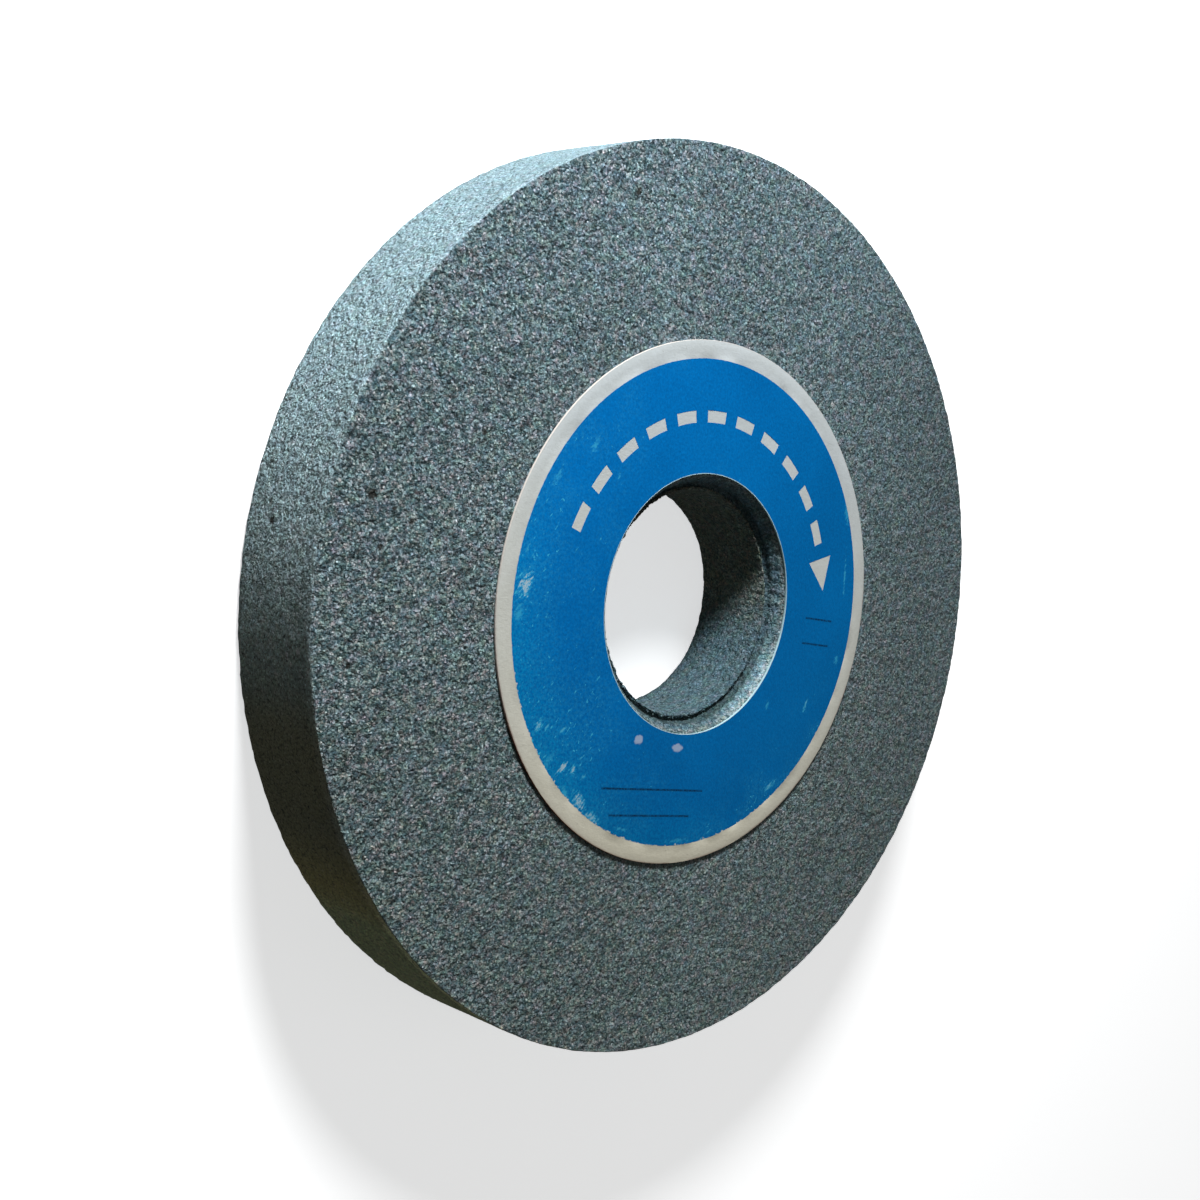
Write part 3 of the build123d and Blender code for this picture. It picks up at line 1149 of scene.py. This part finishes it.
def printed_field():
    """Blue ink on the front blotter: mottled by the grit below, specked, scratched and scuffed."""
    material, tree = new_material("printed_field")
    finish = settings("grinding_finish")
    centre, inner, outer = ring_of("front_print")
    place = place_mm(tree)
    radius = tree.radius(place_mm(tree, centre))
    mottle = tree.noise(place, 2.4, 4.0, 0.7)
    colour = mottled_ink(tree, place, radius, mottle)
    colour = tree.mix(flecks(tree, place), colour, finish.scratch)
    colour = tree.mix(rules(tree, place) * mottle.ramp(0.25, 0.6), colour, finish.ruled)
    worn = scuffs(tree, place)
    colour = tree.mix(worn, colour, tree.mix(worn.ramp(0.45, 1.0), finish.scratch, finish.scuff))
    colour = tree.mix(spots(tree, place) * 0.8, colour, finish.spot)
    border = bare_border(tree, place, radius, outer / MM)
    colour = tree.mix(border, colour, aged(tree, place, finish.paper))
    cut = (radius - mottle * 0.08).ramp(inner / MM + 0.08, inner / MM + 0.02)
    colour = tree.mix(cut, colour, finish.cut_edge)
    roughness = 0.45 + 0.3 * worn + 0.1 * mottle
    height = pressed_grit(tree, place) * 1.4 + mottle * 0.4 - worn * 0.6
    surface(tree, colour, roughness, bump(tree, height, PAPER_RELIEF_MM), specular_ior_level=0.02)
    return material


# Operators

class GRINDINGWHEEL_OT_finishes(bpy.types.Operator):
    """Makes the materials of the grit, the papers and the print"""

    bl_idname = "grinding_wheel.finishes"
    bl_label = "Make Finishes"

    def execute(self, context):
        paper = settings("grinding_finish").paper
        rear_shade = 0.86
        fired_grit()
        broken_crystals()
        blotter_paper("front_paper", paper, "front_blotter")
        blotter_paper("rear_paper", [rear_shade * part for part in paper], "rear_blotter")
        printed_field()
        return {"FINISHED"}


class GRINDINGWHEEL_OT_body(bpy.types.Operator):
    """Turns the abrasive body with its stepped bore and hollows its surface"""

    bl_idname = "grinding_wheel.body"
    bl_label = "Turn Body"

    def execute(self, context):
        size = settings("grinding_wheel")
        # Rows in the bake map, and the share of its width kept there, for each strip in order
        strips = [(1, 0.2), (2, 1), (3, 1), (2, 1), (1, 0.2), (1, 1), (1, 1)]
        piece = turned_piece("wheel_body", wheel_section(), strips, {
            "Steps": size.steps,
            "Relief": size.relief,
            "Clump Size": size.clump_size,
            "Seed": float(size.seed),
            "Material": bpy.data.materials["fired_grit"],
        })
        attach(piece, BODY)
        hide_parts("abrasive_wheel")
        return {"FINISHED"}


class GRINDINGWHEEL_OT_crystals(bpy.types.Operator):
    """Scatters crystals over the faces, the rim and the bore"""

    bl_idname = "grinding_wheel.crystals"
    bl_label = "Scatter Crystals"

    def execute(self, context):
        body = bpy.data.objects["wheel_body"]
        seed = settings("grinding_wheel").seed
        bore_share = settings("grinding_grains").bore_share
        front_centre, _, front_radius = ring_of("front_blotter")
        rear_centre, _, rear_radius = ring_of("rear_blotter")
        beside_paper = 0.15 * MM
        made = [
            crystals("grains_front", body, (FRONT_FACE, FRONT_FACE), seed,
                     cover=(front_centre, front_radius + beside_paper)),
            crystals("grains_rim", body, (RIM, RIM), seed + 10),
            crystals("grains_rear", body, (REAR_FACE, REAR_FACE), seed + 20,
                     cover=(rear_centre, rear_radius + beside_paper)),
            crystals("grains_bore", body, (BORE, MOUTH), seed + 30, share=bore_share),
        ]
        for piece in made:
            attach(piece, BODY)
        return {"FINISHED"}


class GRINDINGWHEEL_OT_blotters(bpy.types.Operator):
    """Makes both paper blotters and inks the printed field"""

    bl_idname = "grinding_wheel.blotters"
    bl_label = "Lay Blotters"

    def execute(self, context):
        size = settings("grinding_blotters")
        seed = 3.0
        # Rows in the bake map, and the share of its width kept there, for each strip in order
        strips = [(3, 1), (1, 1), (1, 0.2), (1, 1)]
        _, _, field = ring_of("front_print")
        plans = {
            "front_card": ("front_blotter", "front_paper", "blotter_paper", field),
            "rear_card": ("rear_blotter", "rear_paper", "rear_blotter_paper", None),
        }
        for name, (node, material, slot, printed) in plans.items():
            centre, inner, outer = ring_of(node)
            low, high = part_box(node)
            field_top = high.z - size.ink_height if printed else None
            section = blotter_section(inner, outer, low.z, high.z, printed, field_top)
            piece = turned_piece(name, section, strips, {
                "Steps": size.steps,
                "Relief": size.wave,
                "Clump Size": size.wave_size,
                "Centre": (centre.x, centre.y, 0),
                "Seed": seed,
                "Material": bpy.data.materials[material],
            })
            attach(piece, BODY)
            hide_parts(node)
        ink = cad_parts["front_print"].data
        ink.materials.clear()
        ink.materials.append(bpy.data.materials["printed_field"])
        return {"FINISHED"}


class GRINDINGWHEEL_OT_stage(bpy.types.Operator):
    """Lays the floor and sets up the lights and the camera"""

    bl_idname = "grinding_wheel.stage"
    bl_label = "Set Stage"

    def execute(self, context):
        make_floor()
        make_lights()
        make_camera()
        context.scene.view_settings.view_transform = "Standard"
        return {"FINISHED"}


def make_floor():
    """A plain pale floor under the wheel that sweeps up into a backdrop all round."""
    stage = settings("grinding_stage")
    height = cad_box[0].z
    columns = 48
    # Radius and rise of each ring of points, in metres
    profile = [(0.5, 0.0), (2.0, 0.0), (2.5, 0.12), (2.8, 0.4), (2.95, 0.9), (3.0, 1.6), (3.0, 4.0)]
    points = [(0, 0, height)]
    for radius, up in profile:
        points += [(radius * cos(tau * i / columns), radius * sin(tau * i / columns), height + up)
                   for i in range(columns)]
    faces = [(0, 1 + i, 1 + (i + 1) % columns) for i in range(columns)]
    for row in range(len(profile) - 1):
        for i in range(columns):
            near, far = 1 + row * columns, 1 + (row + 1) * columns
            after = (i + 1) % columns
            faces.append((near + i, far + i, far + after, near + after))
    mesh = bpy.data.meshes.new("floor")
    mesh.from_pydata(points, [], faces)
    mesh.shade_smooth()
    material, tree = new_material("pale_floor")
    surface(tree, stage.floor_colour, 0.9, specular_ior_level=0.2, emission_color=stage.floor_colour,
            emission_strength=stage.floor_glow)
    mesh.materials.append(material)
    floor = new_piece("floor", mesh)
    floor.visible_diffuse = False
    floor.visible_glossy = False


def add_light(name, direction, distance, size, power):
    """A round area light that shines at the wheel from a direction and stays out of the picture."""
    data = bpy.data.lights.new(name, "AREA")
    data.shape = "DISK"
    data.size = size
    data.energy = power
    light = new_piece(name, data)
    towards = Vector(direction).normalized()
    light.location = towards * distance
    light.rotation_euler = towards.to_track_quat("Z", "Y").to_euler()
    light.visible_camera = False
    return light


def make_lights():
    """A soft key from the picture's upper left, a wide weak fill from behind and pale light all round."""
    stage = settings("grinding_stage")
    towards_key = (-0.31, 0.83, 0.46)
    towards_fill = (0.85, -0.25, 0.45)
    add_light("key", towards_key, stage.key_distance, stage.key_size, stage.key_power)
    add_light("fill", towards_fill, stage.fill_distance, stage.fill_size, stage.fill_power)
    world = bpy.data.worlds.new("studio")
    world.use_nodes = True
    background = world.node_tree.nodes["Background"]
    background.inputs["Color"].default_value = (*stage.sky_colour, 1)
    background.inputs["Strength"].default_value = stage.sky
    bpy.context.scene.world = world


def make_camera():
    """The photograph's camera: fitted to the outlines of the wheel, its blotter and its bore."""
    stage = settings("grinding_stage")
    place_in_mm = Vector((-203.0, 0.78, 200.7))
    sensor_width_in_mm = 36
    data = bpy.data.cameras.new("camera")
    data.sensor_width = sensor_width_in_mm
    data.lens = stage.lens_mm
    data.shift_x = stage.shift
    data.clip_start = 10 * MM
    camera = new_piece("camera", data)
    camera.location = place_in_mm * MM
    turned = Matrix.Rotation(stage.turn, 3, "Y") @ Matrix.Rotation(stage.roll, 3, "Z")
    camera.rotation_euler = turned.to_euler()
    bpy.context.scene.camera = camera


class GRINDINGWHEEL_PT_panel(bpy.types.Panel):
    """Lists the settings and the steps."""

    bl_idname = "GRINDINGWHEEL_PT_panel"
    bl_label = "Grinding Wheel"
    bl_space_type = "VIEW_3D"
    bl_region_type = "UI"
    bl_category = "Grinding Wheel"

    def draw(self, context):
        for operator in OPERATORS:
            self.layout.operator(operator.bl_idname)
        for name, group in GROUPS.items():
            box = self.layout.box()
            for label in group.__annotations__:
                box.prop(getattr(context.scene, name), label)


OPERATORS = (
    GRINDINGWHEEL_OT_finishes,
    GRINDINGWHEEL_OT_body,
    GRINDINGWHEEL_OT_crystals,
    GRINDINGWHEEL_OT_blotters,
    GRINDINGWHEEL_OT_stage,
)


def register():
    for made in (*GROUPS.values(), *OPERATORS, GRINDINGWHEEL_PT_panel):
        bpy.utils.register_class(made)
    for name, group in GROUPS.items():
        setattr(bpy.types.Scene, name, PointerProperty(type=group))


def unregister():
    for name in GROUPS:
        delattr(bpy.types.Scene, name)
    for made in reversed((*GROUPS.values(), *OPERATORS, GRINDINGWHEEL_PT_panel)):
        bpy.utils.unregister_class(made)


def main():
    register()
    bpy.ops.grinding_wheel.finishes()
    bpy.ops.grinding_wheel.body()
    bpy.ops.grinding_wheel.crystals()
    bpy.ops.grinding_wheel.blotters()
    bpy.ops.grinding_wheel.stage()


if __name__ == "__main__":
    main()
